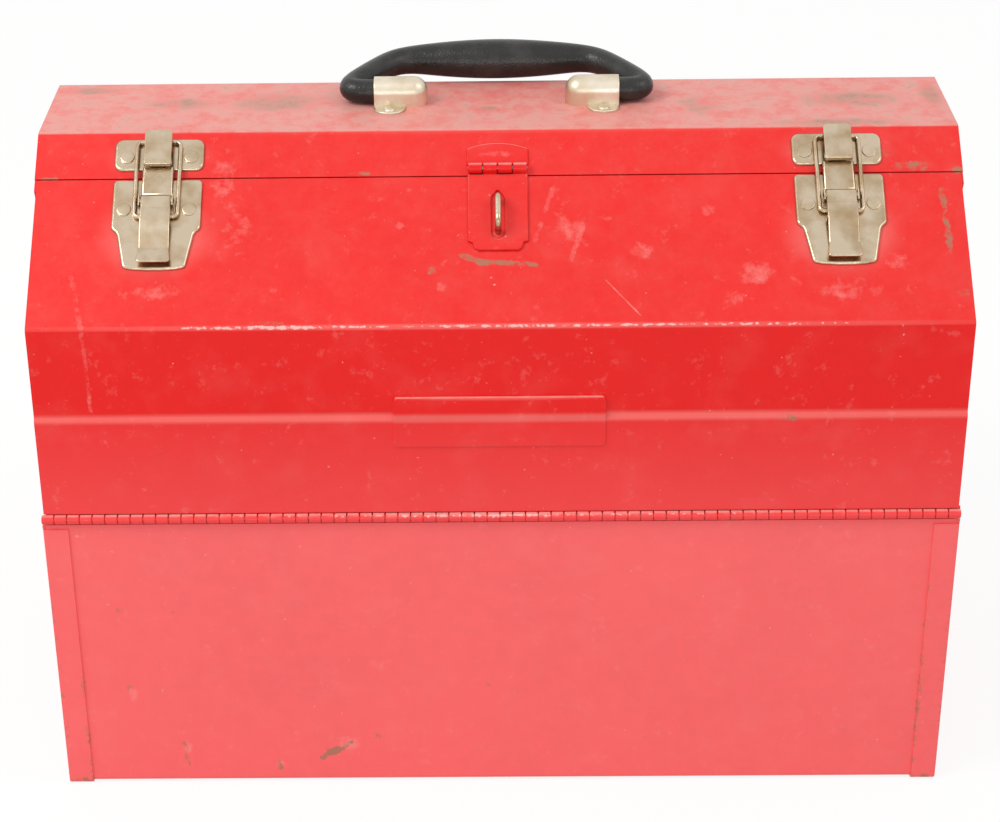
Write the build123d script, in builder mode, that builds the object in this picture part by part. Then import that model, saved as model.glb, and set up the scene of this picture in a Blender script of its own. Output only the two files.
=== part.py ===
from build123d import *
import math
import os

os.makedirs("parts", exist_ok=True)

# Driving dimensions in millimetres. X is the width, the front faces -Y and Z is up.
sheet = 0.9
box_width = 457.2
box_depth = 248.0
cover_lap_gap = 0.2
base_top = 158.5
hinge_height = 162.0
cover_edge = 165.5
cover_end_edge = 160.0
hip_height = 266.0
top_height = 333.0
top_flat = 70.0
joggle = 1.2
joggle_low = 216.5
joggle_high = 218.4
joggle_radius = 1.2
bend_radius = 2.4
base_bend_radius = 3.0
flange_width = 12.7
flange_drop = 2.5
seam_from_hip = 83.0
seam_gap = 0.7
end_lap = 6.0

# Label pad pressed into the front cover, left bare.
pad_width = 104.0
pad_height = 27.0
pad_centre = 215.0
pad_raise = 0.8

# Piano hinges.
knuckle_pitch = 6.35
knuckle_gap = 0.3
knuckle_radius = 2.4
pin_radius = 1.0
bore_clearance = 0.06
leaf_width = 20.0
leaf_notch = 0.5

# Tray linkage: pivot heights over the hinge axis, and distances inward from it.
lower_pivot = 30.0
upper_pivot = 76.0
link_inward = 34.0
link_down = 10.0
link_width = 12.0
link_thickness = 1.5
link_middle_gap = 7.7
tray_side_room = 9.1
tray_middle_gap = 4.7
tray_height = 42.0
tray_pivot_height = 18.0
lower_tray_front = 12.0
upper_tray_front = 16.0
tray_bend_radius = 3.0
tray_hem = 6.0
link_gap = 0.6
rivet_radius = 2.4
rivet_head_radius = 4.0
rivet_head = 1.2
rivet_clearance = 0.1
fit_gap = 0.3

# Draw latches, in distances across, up the front slope from the hip, and out from it.
latch_spacing = 334.4
latch_plate = 0.9
plate_round = 0.45
strike_width = 44.5
strike_low = 87.0
strike_high = 105.0
strike_corner = 4.0
hood_width = 13.7
hood_low = 86.9
hood_high = 106.6
hood_under = 6.5
hood_thickness = 1.4
hood_round = 0.8
neck_width = 9.0
neck_low = 92.0
shield_width = 44.0
shield_high = 81.8
shield_shoulder = 54.4
shield_step_in = 3.0
shield_step_down = 2.6
shield_low = 33.0
shield_foot_width = 30.8
shield_crown = 1.5
shield_corner = 1.4
tongue_width = 15.0
tongue_low = 71.5
tongue_high = 88.5
tongue_under = 1.6
tongue_top = 3.2
tongue_round = 0.6
lever_width = 15.2
lever_lip_width = 16.4
lever_lip_corner = 2.0
lever_pivot_up = 68.0
lever_pivot_out = 4.6
lever_high = 70.0
lever_flange_low = 56.5
lever_flange_under = 1.8
lever_face = 6.9
lever_waist = 42.0
lever_waist_out = 4.2
lever_flare = 1.5
lever_lip = 33.8
lever_lip_out = 6.4
ear_thickness = 0.8
ear_gap = 0.2
ear_low = 64.5
ear_high = 71.0
ear_out = 6.8
latch_pin_radius = 1.2
bail_wire = 1.1
bail_half_width = 10.6
bail_pivot_up = 59.8
bail_out = 3.4
bail_high = 102.0
bail_bend = 2.4
plate_rivet_radius = 3.2
plate_rivet_head = 1.1
strike_rivet_spacing = 31.6
strike_rivet_up = 94.4
shield_rivet_spacing = 32.0
shield_rivet_up = 64.8

# Hasp, in the same distances as the latches.
hasp_width = 29.4
hasp_leaf_width = 30.4
hasp_thickness = 1.2
hasp_axis_up = 85.9
hasp_axis_out = 2.75
hasp_knuckle_radius = 2.6
hasp_knuckles = 4
hasp_leaf_high = 101.4
hasp_leaf_side = 98.1
hasp_leaf_corner = 1.2
hasp_strap_low = 41.0
hasp_tip = 46.0
hasp_tip_width = 24.0
hasp_strap_under = 0.35
hasp_corner = 3.0
hasp_slot_width = 6.6
hasp_slot_low = 46.9
hasp_slot_shoulder = 70.6
hasp_slot_high = 74.4
staple_wire = 1.6
staple_low = 51.4
staple_high = 68.4
staple_out = 9.5
staple_bend = 4.0

# Carrying handle, folded back on the lid.
handle_forward = 3.0
stub_top_gap = 0.8
handle_reach = 36.0
handle_end = 81.3
handle_shoulder = 50.0
corner_inside = 0.6
shoulder_bend = 16.0
stub_radius = 6.0
grip_half_length = 44.0
grip_swell = 0.3
grip_radius = 10.3
grip_rest_gap = 0.4
clip_inner = 35.0
clip_outer = 62.3
clip_thickness = 1.2
clip_clearance = 0.1
clip_end_gap = 0.9
clip_tab = 9.5
clip_tab_width = 16.0
clip_tab_corner = 7.2
clip_rivet_radius = 3.0

# Derived places.
wall = box_depth / 2 - sheet
upper_face = wall - joggle
hinge_out = wall - 2 * sheet + knuckle_radius
front_cover_width = box_width - 2 * (sheet + cover_lap_gap)
slope_run = upper_face - top_flat / 2
slope_rise = top_height - hip_height
slope_length = math.hypot(slope_run, slope_rise)
slope_along = (slope_run / slope_length, slope_rise / slope_length)
base_floor = sheet
tray_length = box_width - 2 * tray_side_room
tray_back = hinge_out - tray_middle_gap
upper_inward = hinge_out - link_inward - link_width / 2 - link_middle_gap
lower_inward = upper_inward * lower_pivot / upper_pivot
link_inner = tray_length / 2 + link_gap
link_outer = link_inner + link_thickness
latch_places = {"left": -latch_spacing / 2, "right": latch_spacing / 2}
ends = {"left": -1, "right": 1}
covers = {"front": -1, "rear": 1}
cover_half = {"front": front_cover_width / 2, "rear": box_width / 2}
trays = {
    "lower": (lower_inward, lower_pivot, lower_tray_front),
    "upper": (upper_inward, upper_pivot, upper_tray_front),
}
slope = Plane(
    origin=(0, -upper_face, hip_height),
    x_dir=(1, 0, 0),
    z_dir=(0, -slope_along[1], slope_along[0]),
)
outward = Axis((0, 0, 0), slope.z_dir)


def save(piece, name):
    """Label a finished piece and write it under its own name."""
    piece.part.label = name
    export_step(piece.part, f"parts/{name}.step")


def slope_section(across):
    """The plane square to X at this distance across, with axes up the slope and out from it."""
    return Plane(
        origin=(across, -upper_face, hip_height),
        x_dir=(0, slope_along[0], slope_along[1]),
        z_dir=(1, 0, 0),
    )


def on_slope(up, out=0.0):
    """A point of the front slope's section as (y, z)."""
    y = -upper_face + up * slope_along[0] - out * slope_along[1]
    z = hip_height + up * slope_along[1] + out * slope_along[0]
    return (y, z)


def from_hinge(facing, inward, upward):
    """A point as (y, z), measured from the hinge axis of the cover on this side."""
    return (facing * (hinge_out - inward), hinge_height + upward)


def end_plane(side, inner, outer):
    """The plane from which a plate between these two distances from the middle grows along +X."""
    return Plane.YZ.offset(inner if side > 0 else -outer)


def bent_sheet(plane, points, radii, thickness, side):
    """The section of a bent sheet whose outer face follows these points."""
    with BuildSketch(plane) as section:
        with BuildLine():
            FilletPolyline(*points, radius=radii)
            offset(amount=thickness, side=side)
        make_face()
    return section.sketch


def discs(plane, places, radius):
    """Round spots of one radius at these places on a plane."""
    with BuildSketch(plane) as spots:
        with Locations(*places):
            Circle(radius)
    return spots.sketch


# Base: one sheet bent into front, floor and back, between two flanged ends.
with BuildPart() as base_shell:
    base_path = [
        (-wall, base_top),
        (-wall, base_floor),
        (wall, base_floor),
        (wall, base_top),
    ]
    extrude(
        bent_sheet(Plane.YZ, base_path, base_bend_radius, sheet, Side.LEFT),
        amount=box_width / 2 - sheet,
        both=True,
    )
save(base_shell, "base_shell")

link_place = {name: from_hinge(facing, link_inward, -link_down) for name, facing in covers.items()}
for end_name, side in ends.items():
    flange_inner = box_width / 2 - flange_width
    with BuildPart() as base_end:
        with BuildSketch(end_plane(side, flange_inner, box_width / 2)):
            with Locations((0, base_top / 2)):
                Rectangle(box_depth, base_top)
        extrude(amount=flange_width)
        fillet(base_end.edges().filter_by(Axis.X).group_by(Axis.Z)[0], base_bend_radius)
        with BuildSketch(end_plane(side, flange_inner, box_width / 2 - sheet)):
            with BuildLine():
                FilletPolyline(*base_path, radius=base_bend_radius)
                Line(base_path[-1], base_path[0])
            make_face()
        extrude(amount=flange_width - sheet, mode=Mode.SUBTRACT)
        with BuildSketch(end_plane(side, flange_inner, box_width / 2 - sheet)):
            with Locations((0, base_top - flange_drop / 2)):
                Rectangle(2 * box_depth, flange_drop)
        extrude(amount=flange_width - sheet, mode=Mode.SUBTRACT)
        rivet_hole = discs(
            end_plane(side, flange_inner, box_width / 2),
            link_place.values(),
            rivet_radius,
        )
        extrude(rivet_hole, amount=flange_width, mode=Mode.SUBTRACT)
    save(base_end, f"base_end_{end_name}")

# Shouldered rivets in the base ends, which the link arms turn on.
with BuildPart() as base_link_rivets:
    for side in ends.values():
        reach = box_width / 2 + rivet_head
        tail = link_inner - fit_gap - rivet_head
        places = link_place.values()
        extrude(discs(end_plane(side, box_width / 2, reach), places, rivet_head_radius), amount=rivet_head)
        extrude(discs(end_plane(side, tail, reach), places, rivet_radius), amount=reach - tail)
        sleeve = (link_outer + fit_gap, box_width / 2 - sheet)
        extrude(discs(end_plane(side, *sleeve), places, rivet_head_radius), amount=sleeve[1] - sleeve[0])
        extrude(discs(end_plane(side, tail, tail + rivet_head), places, rivet_head_radius), amount=rivet_head)
save(base_link_rivets, "base_link_rivets")

# Piano hinges: two leaves with knuckles in turn, and a pin through all of them.
knuckle_count = int((box_width + knuckle_gap) / knuckle_pitch)
hinge_length = knuckle_count * knuckle_pitch
for cover_name, facing in covers.items():
    axis = (facing * hinge_out, hinge_height)
    leaf_middle = facing * (wall - 1.5 * sheet)
    for leaf_name, rises in {"base": -1, "cover": 1}.items():
        leaf_root = hinge_height + rises * (knuckle_radius + leaf_notch)
        leaf_tip = hinge_height + rises * leaf_width
        first = 0 if leaf_name == "base" else 1
        with BuildPart() as hinge_leaf:
            with BuildSketch(Plane.YZ):
                with Locations(axis):
                    RegularPolygon(knuckle_radius, 8, major_radius=False, rotation=22.5)
                with Locations((leaf_middle, (hinge_height + leaf_root) / 2)):
                    Rectangle(sheet, abs(leaf_root - hinge_height))
                with Locations(axis):
                    RegularPolygon(pin_radius + bore_clearance, 6, major_radius=False, mode=Mode.SUBTRACT)
            extrude(amount=hinge_length / 2, both=True)
            gap_height = 2 * (knuckle_radius + leaf_notch) + knuckle_gap
            with BuildSketch(Plane.XZ.offset(-axis[0])):
                for number in range(1 - first, knuckle_count, 2):
                    with Locations((knuckle_pitch * (number + 0.5) - hinge_length / 2, hinge_height)):
                        Rectangle(knuckle_pitch + knuckle_gap, gap_height)
            extrude(amount=2 * knuckle_radius, both=True, mode=Mode.SUBTRACT)
            with BuildSketch(Plane.YZ):
                with Locations((leaf_middle, (leaf_root + leaf_tip) / 2)):
                    Rectangle(sheet, abs(leaf_tip - leaf_root))
            extrude(amount=front_cover_width / 2 - 2 * sheet, both=True)
        save(hinge_leaf, f"{cover_name}_hinge_{leaf_name}_leaf")
    with BuildPart() as hinge_pin:
        extrude(discs(Plane.YZ, [axis], pin_radius), amount=hinge_length / 2, both=True)
    save(hinge_pin, f"{cover_name}_hinge_pin")

# Cover panels: one bent sheet each, joggled half way up, meeting at a seam on the front slope.
front_path = [
    (-wall, cover_edge),
    (-wall, joggle_low),
    (-upper_face, joggle_high),
    (-upper_face, hip_height),
    on_slope(seam_from_hip - seam_gap / 2),
]
rear_path = [
    (wall, cover_edge),
    (wall, joggle_low),
    (upper_face, joggle_high),
    (upper_face, hip_height),
    (top_flat / 2, top_height),
    (-top_flat / 2, top_height),
    on_slope(seam_from_hip + seam_gap / 2),
]
front_bends = [joggle_radius, joggle_radius, bend_radius]
rear_bends = front_bends + [bend_radius, bend_radius]
with BuildPart() as front_cover_panel:
    extrude(
        bent_sheet(Plane.YZ, front_path, front_bends, sheet, Side.RIGHT),
        amount=front_cover_width / 2,
        both=True,
    )
    with BuildSketch(Plane.XZ.offset(upper_face - sheet / 2)):
        with Locations((0, pad_centre)):
            RectangleRounded(pad_width, pad_height, bend_radius)
    extrude(amount=joggle + pad_raise + sheet / 2)
    pad_face = front_cover_panel.faces().sort_by(Axis.Y)[0]
    chamfer(pad_face.edges(), pad_raise / 2)
save(front_cover_panel, "front_cover_panel")

with BuildPart() as rear_cover_panel:
    extrude(
        bent_sheet(Plane.YZ, rear_path, rear_bends, sheet, Side.LEFT),
        amount=box_width / 2,
        both=True,
    )
save(rear_cover_panel, "rear_cover_panel")

# Cover ends: flat plates under the panels' edges, the rear ones lapping outside the front ones.
notch = hinge_out - knuckle_radius - bend_radius - fit_gap
cover_paths = {"front": (front_path, front_bends), "rear": (rear_path, rear_bends)}
cover_inner = {"front": Side.RIGHT, "rear": Side.LEFT}
end_edges = {
    "front": [(-end_lap / 2, cover_end_edge), (-notch, cover_end_edge), (-notch, cover_edge)],
    "rear": [
        on_slope(seam_from_hip - end_lap, -sheet),
        (-end_lap, cover_end_edge),
        (notch, cover_end_edge),
        (notch, cover_edge),
    ],
}
for cover_name, facing in covers.items():
    half = cover_half[cover_name]
    cover_path, path_bends = cover_paths[cover_name]
    pivots = [from_hinge(facing, inward, upward) for inward, upward, _ in trays.values()]
    for end_name, side in ends.items():
        with BuildPart() as cover_end:
            with BuildSketch(end_plane(side, half - sheet, half)):
                with BuildLine():
                    FilletPolyline(*cover_path, radius=path_bends)
                    under = offset(
                        amount=sheet,
                        side=cover_inner[cover_name],
                        closed=False,
                        mode=Mode.REPLACE,
                    )
                    foot, head = sorted((under @ 0, under @ 1), key=lambda point: point.Y)
                    Polyline(head, *end_edges[cover_name], foot)
                make_face()
                with Locations(*pivots):
                    Circle(rivet_radius, mode=Mode.SUBTRACT)
            extrude(amount=sheet)
        save(cover_end, f"{cover_name}_cover_end_{end_name}")
    tail = tray_length / 2 - sheet - fit_gap - rivet_head
    sleeve = (tray_length / 2 + fit_gap, half - sheet)
    with BuildPart() as tray_rivets:
        for side in ends.values():
            outer_head = end_plane(side, half, half + rivet_head)
            extrude(discs(outer_head, pivots, rivet_head_radius), amount=rivet_head)
            extrude(discs(end_plane(side, tail, half), pivots, rivet_radius), amount=half - tail)
            extrude(discs(end_plane(side, *sleeve), pivots, rivet_head_radius), amount=sleeve[1] - sleeve[0])
            inner_head = end_plane(side, tail, tail + rivet_head)
            extrude(discs(inner_head, pivots, rivet_head_radius), amount=rivet_head)
    save(tray_rivets, f"{cover_name}_tray_rivets")

# Trays: a bent trough closed by two end plates, hung on the cover and on the link arms.
hole = rivet_radius + rivet_clearance
for cover_name, facing in covers.items():
    for tray_name, (inward, upward, tray_front) in trays.items():
        floor = upward - tray_pivot_height
        rim = floor + tray_height
        pivot = from_hinge(facing, inward, upward)
        follower = from_hinge(facing, inward + link_inward, upward - link_down)
        trough = [
            from_hinge(facing, tray_front, rim),
            from_hinge(facing, tray_front, floor),
            from_hinge(facing, tray_back, floor),
            from_hinge(facing, tray_back, rim),
        ]
        inner_side = Side.LEFT if facing < 0 else Side.RIGHT
        with BuildPart() as tray:
            trough_section = bent_sheet(Plane.YZ, trough, tray_bend_radius, sheet, inner_side)
            extrude(trough_section, amount=tray_length / 2, both=True)
            for side in ends.values():
                with BuildSketch(end_plane(side, tray_length / 2 - sheet, tray_length / 2)):
                    with BuildLine():
                        FilletPolyline(*trough, radius=tray_bend_radius)
                        Line(trough[-1], trough[0])
                    make_face()
                extrude(amount=sheet)
            with BuildSketch(Plane.YZ):
                hem_places = [
                    from_hinge(facing, tray_front + 1.5 * sheet, rim - tray_hem / 2),
                    from_hinge(facing, tray_back - 1.5 * sheet, rim - tray_hem / 2),
                ]
                with Locations(*hem_places):
                    Rectangle(sheet, tray_hem)
            extrude(amount=tray_length / 2 - sheet, both=True)
            for side in ends.values():
                drill = end_plane(side, tray_length / 2 - sheet, tray_length / 2)
                extrude(discs(drill, [pivot], hole), amount=sheet, mode=Mode.SUBTRACT)
                extrude(discs(drill, [follower], rivet_radius), amount=sheet, mode=Mode.SUBTRACT)
        save(tray, f"{cover_name}_{tray_name}_tray")
        inside = tray_length / 2 - sheet - rivet_head
        outside = link_outer + fit_gap
        with BuildPart() as link_rivets:
            for side in ends.values():
                inner_head = end_plane(side, inside, inside + rivet_head)
                extrude(discs(inner_head, [follower], rivet_head_radius), amount=rivet_head)
                shank = end_plane(side, inside, outside)
                extrude(discs(shank, [follower], rivet_radius), amount=outside - inside)
                outer_head = end_plane(side, outside, outside + rivet_head)
                extrude(discs(outer_head, [follower], rivet_head_radius), amount=rivet_head)
        save(link_rivets, f"{cover_name}_{tray_name}_link_rivets")

# Link arms: flat bars parallel to the line from hinge to tray pivots.
for cover_name, facing in covers.items():
    bar_places = [from_hinge(facing, link_inward, -link_down)]
    for inward, upward, _ in trays.values():
        bar_places.append(from_hinge(facing, inward + link_inward, upward - link_down))
    bar_start = bar_places[0]
    bar_end = bar_places[-1]
    bar_middle = ((bar_start[0] + bar_end[0]) / 2, (bar_start[1] + bar_end[1]) / 2)
    bar_turn = math.degrees(math.atan2(bar_end[1] - bar_start[1], bar_end[0] - bar_start[0]))
    bar_length = math.dist(bar_start, bar_end)
    for end_name, side in ends.items():
        with BuildPart() as link:
            with BuildSketch(end_plane(side, link_inner, link_outer)):
                with Locations(bar_middle):
                    SlotCenterToCenter(bar_length, link_width, rotation=bar_turn)
                with Locations(*bar_places):
                    Circle(hole, mode=Mode.SUBTRACT)
            extrude(amount=link_thickness)
        save(link, f"{cover_name}_link_{end_name}")

# Draw latches: strike with hooked hood, shield with tongue and ears, lever and wire bail.
shield_outline = [
    (-shield_width / 2, shield_high),
    (-shield_width / 2, shield_shoulder),
    (-shield_width / 2 + shield_step_in, shield_shoulder - shield_step_down),
    (-shield_foot_width / 2, shield_low),
]
ear_inner = lever_width / 2 + ear_gap
ear_outer = ear_inner + ear_thickness
for end_name, across in latch_places.items():
    section = slope_section(across)
    with BuildPart() as strike:
        with BuildSketch(slope):
            with Locations((across, (strike_low + strike_high) / 2)):
                RectangleRounded(strike_width, strike_high - strike_low, strike_corner)
        extrude(amount=latch_plate)
        fillet(strike.faces().sort_by(outward)[-1].edges(), plate_round)
        neck_high = bail_high - bail_wire - fit_gap
        with BuildSketch(slope.offset(latch_plate)):
            with Locations((across, (neck_low + neck_high) / 2)):
                Rectangle(neck_width, neck_high - neck_low)
        extrude(amount=hood_under - latch_plate)
        with BuildSketch(slope.offset(hood_under)):
            with Locations((across, (hood_low + hood_high) / 2)):
                RectangleRounded(hood_width, hood_high - hood_low, bend_radius)
        extrude(amount=hood_thickness)
        fillet(strike.faces().sort_by(outward)[-1].edges(), hood_round)
    save(strike, f"latch_strike_{end_name}")

    with BuildPart() as shield:
        with BuildSketch(slope):
            with BuildLine():
                left_side = [(across + x, up) for x, up in shield_outline]
                right_side = [(across - x, up) for x, up in reversed(shield_outline)]
                Polyline(*right_side, *left_side)
                crown = (across, shield_low - shield_crown)
                ThreePointArc(left_side[-1], crown, right_side[0])
            shield_face = make_face()
            fillet(shield_face.vertices(), shield_corner)
        extrude(amount=latch_plate)
        fillet(shield.faces().sort_by(outward)[-1].edges(), plate_round)
        with BuildSketch(slope.offset(latch_plate)):
            with Locations((across, (tongue_low + shield_high) / 2)):
                Rectangle(tongue_width, shield_high - tongue_low)
        extrude(amount=tongue_top - latch_plate)
        with BuildSketch(slope.offset(tongue_under)):
            with Locations((across, (shield_high + tongue_high) / 2)):
                Rectangle(tongue_width, tongue_high - shield_high)
        extrude(amount=tongue_top - tongue_under)
        fillet(shield.faces().sort_by(outward)[-1].edges(), tongue_round)
        for side in ends.values():
            with BuildSketch(slope.offset(latch_plate)):
                with Locations((across + side * (ear_inner + ear_outer) / 2, (ear_low + ear_high) / 2)):
                    Rectangle(ear_thickness, ear_high - ear_low)
            extrude(amount=ear_out - latch_plate)
        pin_bore = discs(section, [(lever_pivot_up, lever_pivot_out)], latch_pin_radius)
        extrude(pin_bore, amount=lever_width, both=True, mode=Mode.SUBTRACT)
    save(shield, f"latch_shield_{end_name}")

    with BuildPart() as latch_pin:
        pin_spot = discs(section, [(lever_pivot_up, lever_pivot_out)], latch_pin_radius)
        extrude(pin_spot, amount=ear_outer, both=True)
    save(latch_pin, f"latch_pin_{end_name}")

    with BuildPart() as lever:
        lever_path = [
            (lever_high, lever_face),
            (lever_flange_low, lever_face),
            (lever_waist, lever_waist_out),
            (lever_lip, lever_lip_out),
        ]
        lever_section = bent_sheet(section, lever_path, bend_radius, sheet, Side.LEFT)
        extrude(lever_section, amount=lever_lip_width / 2, both=True)
        with BuildSketch(slope):
            with BuildLine():
                right_edge = [
                    (lever_width / 2, lever_high),
                    (lever_width / 2, lever_waist + lever_flare),
                    (lever_lip_width / 2, lever_waist - lever_flare),
                    (lever_lip_width / 2, lever_lip),
                ]
                lever_right = [(across + x, up) for x, up in right_edge]
                lever_left = [(across - x, up) for x, up in reversed(right_edge)]
                Polyline(*lever_right, *lever_left, close=True)
            lever_plan = make_face()
            fillet(lever_plan.vertices().sort_by(Axis.Y)[:2], lever_lip_corner)
        extrude(amount=2 * lever_face, mode=Mode.INTERSECT)
        flange_top = lever_face - sheet
        flange_middle = ((lever_flange_low + lever_high) / 2, (lever_flange_under + flange_top) / 2)
        for side in ends.values():
            with BuildSketch(section.offset(side * (lever_width - sheet) / 2)):
                with Locations(flange_middle):
                    Rectangle(lever_high - lever_flange_low, flange_top - lever_flange_under)
            extrude(amount=sheet / 2, both=True)
        lever_bore = discs(
            section,
            [(lever_pivot_up, lever_pivot_out)],
            latch_pin_radius + rivet_clearance,
        )
        extrude(lever_bore, amount=lever_width, both=True, mode=Mode.SUBTRACT)
        bail_bore = discs(section, [(bail_pivot_up, bail_out)], bail_wire + rivet_clearance)
        extrude(bail_bore, amount=lever_width, both=True, mode=Mode.SUBTRACT)
    save(lever, f"latch_lever_{end_name}")

    with BuildPart() as bail:
        stub = lever_width / 2 - 1.5 * sheet
        with BuildLine(slope.offset(bail_out)) as bail_path:
            FilletPolyline(
                (across + stub, bail_pivot_up),
                (across + bail_half_width, bail_pivot_up),
                (across + bail_half_width, bail_high),
                (across - bail_half_width, bail_high),
                (across - bail_half_width, bail_pivot_up),
                (across - stub, bail_pivot_up),
                radius=bail_bend,
            )
        with BuildSketch(bail_path.line ^ 0):
            Circle(bail_wire)
        sweep(path=bail_path.line)
    save(bail, f"latch_bail_{end_name}")

with BuildPart() as latch_strike_rivets:
    strike_rivet_places = []
    for across in latch_places.values():
        for side in ends.values():
            strike_rivet_places.append((across + side * strike_rivet_spacing / 2, strike_rivet_up))
    strike_heads = discs(slope.offset(latch_plate), strike_rivet_places, plate_rivet_radius)
    extrude(strike_heads, amount=plate_rivet_head)
save(latch_strike_rivets, "latch_strike_rivets")

with BuildPart() as latch_shield_rivets:
    shield_rivet_places = []
    for across in latch_places.values():
        for side in ends.values():
            shield_rivet_places.append((across + side * shield_rivet_spacing / 2, shield_rivet_up))
    shield_heads = discs(slope.offset(latch_plate), shield_rivet_places, plate_rivet_radius)
    extrude(shield_heads, amount=plate_rivet_head)
save(latch_shield_rivets, "latch_shield_rivets")

# Hasp: a short leaf on the rear cover, a slotted strap hinged to it, and a staple on the front cover.
knuckle_step = hasp_width / hasp_knuckles
hasp_notch = hasp_knuckle_radius + fit_gap
hasp_axis = (hasp_axis_up, hasp_axis_out)


def hasp_knuckle(under, reach, numbers):
    """Hasp knuckles at these places in the row, each with its tangent web."""
    with BuildPart() as knuckles:
        for number in numbers:
            start = knuckle_step * number - hasp_width / 2 + knuckle_gap / 2
            with BuildSketch(slope_section(start)):
                with Locations(hasp_axis):
                    Circle(hasp_knuckle_radius)
                with Locations((hasp_axis_up + reach / 2, under + hasp_thickness / 2)):
                    Rectangle(abs(reach), hasp_thickness)
                with Locations(hasp_axis):
                    Circle(pin_radius + bore_clearance, mode=Mode.SUBTRACT)
            extrude(amount=knuckle_step - knuckle_gap)
    return knuckles.part


with BuildPart() as hasp_leaf:
    with BuildSketch(slope):
        leaf_low = hasp_axis_up + hasp_notch
        with BuildLine():
            leaf_left = (-hasp_leaf_width / 2, hasp_leaf_side)
            leaf_right = (hasp_leaf_width / 2, hasp_leaf_side)
            Polyline(leaf_left, (-hasp_leaf_width / 2, leaf_low), (hasp_leaf_width / 2, leaf_low), leaf_right)
            ThreePointArc(leaf_right, (0, hasp_leaf_high), leaf_left)
        leaf_face = make_face()
        fillet(leaf_face.vertices().group_by(Axis.Y)[-1], hasp_leaf_corner)
    extrude(amount=hasp_thickness)
    add(hasp_knuckle(0.0, hasp_notch, range(0, hasp_knuckles, 2)))
save(hasp_leaf, "hasp_leaf")

with BuildPart() as hasp_strap:
    with BuildSketch(slope.offset(hasp_strap_under)):
        strap_high = hasp_axis_up - hasp_notch
        with Locations((0, (hasp_tip + strap_high) / 2)):
            Rectangle(hasp_width, strap_high - hasp_tip)
        with Locations((0, (hasp_strap_low + strap_high) / 2)):
            Rectangle(hasp_tip_width, strap_high - hasp_strap_low)
        with BuildLine():
            slot_turn = hasp_slot_low + hasp_slot_width / 2
            Polyline(
                (-hasp_slot_width / 2, slot_turn),
                (-hasp_slot_width / 2, hasp_slot_shoulder),
                (0, hasp_slot_high),
                (hasp_slot_width / 2, hasp_slot_shoulder),
                (hasp_slot_width / 2, slot_turn),
            )
            ThreePointArc(
                (-hasp_slot_width / 2, slot_turn),
                (0, hasp_slot_low),
                (hasp_slot_width / 2, slot_turn),
            )
        make_face(mode=Mode.SUBTRACT)
    extrude(amount=hasp_thickness)
    strap_corners = hasp_strap.edges().filter_by(outward).group_by(Axis.Y)[0]
    fillet(strap_corners, hasp_corner)
    add(hasp_knuckle(hasp_strap_under, -hasp_notch, range(1, hasp_knuckles, 2)))
save(hasp_strap, "hasp_strap")

with BuildPart() as hasp_pin:
    extrude(discs(slope_section(0), [hasp_axis], pin_radius), amount=hasp_width / 2, both=True)
save(hasp_pin, "hasp_pin")

with BuildPart() as hasp_staple:
    with BuildLine(slope_section(0)) as staple_path:
        FilletPolyline(
            (staple_low, 0),
            (staple_low, staple_out),
            (staple_high, staple_out),
            (staple_high, 0),
            radius=staple_bend,
        )
    with BuildSketch(staple_path.line ^ 0):
        Circle(staple_wire)
    sweep(path=staple_path.line)
save(hasp_staple, "hasp_staple")

# Carrying handle: a bellied grip on two arms, whose stubs turn in riveted clips.
handle_axis_up = stub_radius + stub_top_gap
handle_axis = (handle_forward, top_height + handle_axis_up)
grip_rise = grip_radius + grip_rest_gap - handle_axis_up
handle_tilt = math.asin(grip_rise / handle_reach)
handle_plane = Plane(
    origin=(0, *handle_axis),
    x_dir=(1, 0, 0),
    z_dir=(0, -math.sin(handle_tilt), math.cos(handle_tilt)),
)
clip_inside = stub_radius + clip_clearance
clip_outside = clip_inside + clip_thickness
clip_dome = clip_inner + clip_outside
stub_inner = clip_dome + clip_end_gap
corner_bend = stub_radius + corner_inside
grip_end_radius = stub_radius + grip_swell
with BuildPart() as handle_grip:
    half_path = [
        (stub_inner, 0),
        (handle_end, 0),
        (handle_shoulder, handle_reach),
    ]
    with BuildLine(handle_plane) as handle_path:
        FilletPolyline(
            *half_path,
            *[(-across, reach) for across, reach in reversed(half_path)],
            radius=[corner_bend, shoulder_bend, shoulder_bend, corner_bend],
        )
    with BuildSketch(handle_path.line ^ 0):
        Circle(stub_radius)
    sweep(path=handle_path.line)
    with BuildSketch(handle_plane):
        with BuildLine():
            left_rim = (-grip_half_length, handle_reach + grip_end_radius)
            right_rim = (grip_half_length, handle_reach + grip_end_radius)
            ThreePointArc(left_rim, (0, handle_reach + grip_radius), right_rim)
            Polyline(
                right_rim,
                (grip_half_length, handle_reach),
                (-grip_half_length, handle_reach),
                left_rim,
            )
        make_face()
    grip_axis = Axis(handle_plane.from_local_coords((0, handle_reach, 0)), (1, 0, 0))
    revolve(axis=grip_axis)
save(handle_grip, "handle_grip")


def clip_body(side, radius):
    """A half round barrel on straight skirts, closed at its inner end by a dome on a round skirt."""
    with BuildPart() as body:
        with BuildSketch(end_plane(side, clip_dome, clip_outer)):
            with Locations(handle_axis):
                Circle(radius)
            with Locations((handle_forward, top_height + handle_axis_up / 2)):
                Rectangle(2 * radius, handle_axis_up)
        extrude(amount=clip_outer - clip_dome)
        with Locations((side * clip_dome, *handle_axis)):
            Sphere(radius)
        with Locations((side * clip_dome, handle_forward, top_height + handle_axis_up / 2)):
            Cylinder(radius, handle_axis_up)
    return body.part


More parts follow.
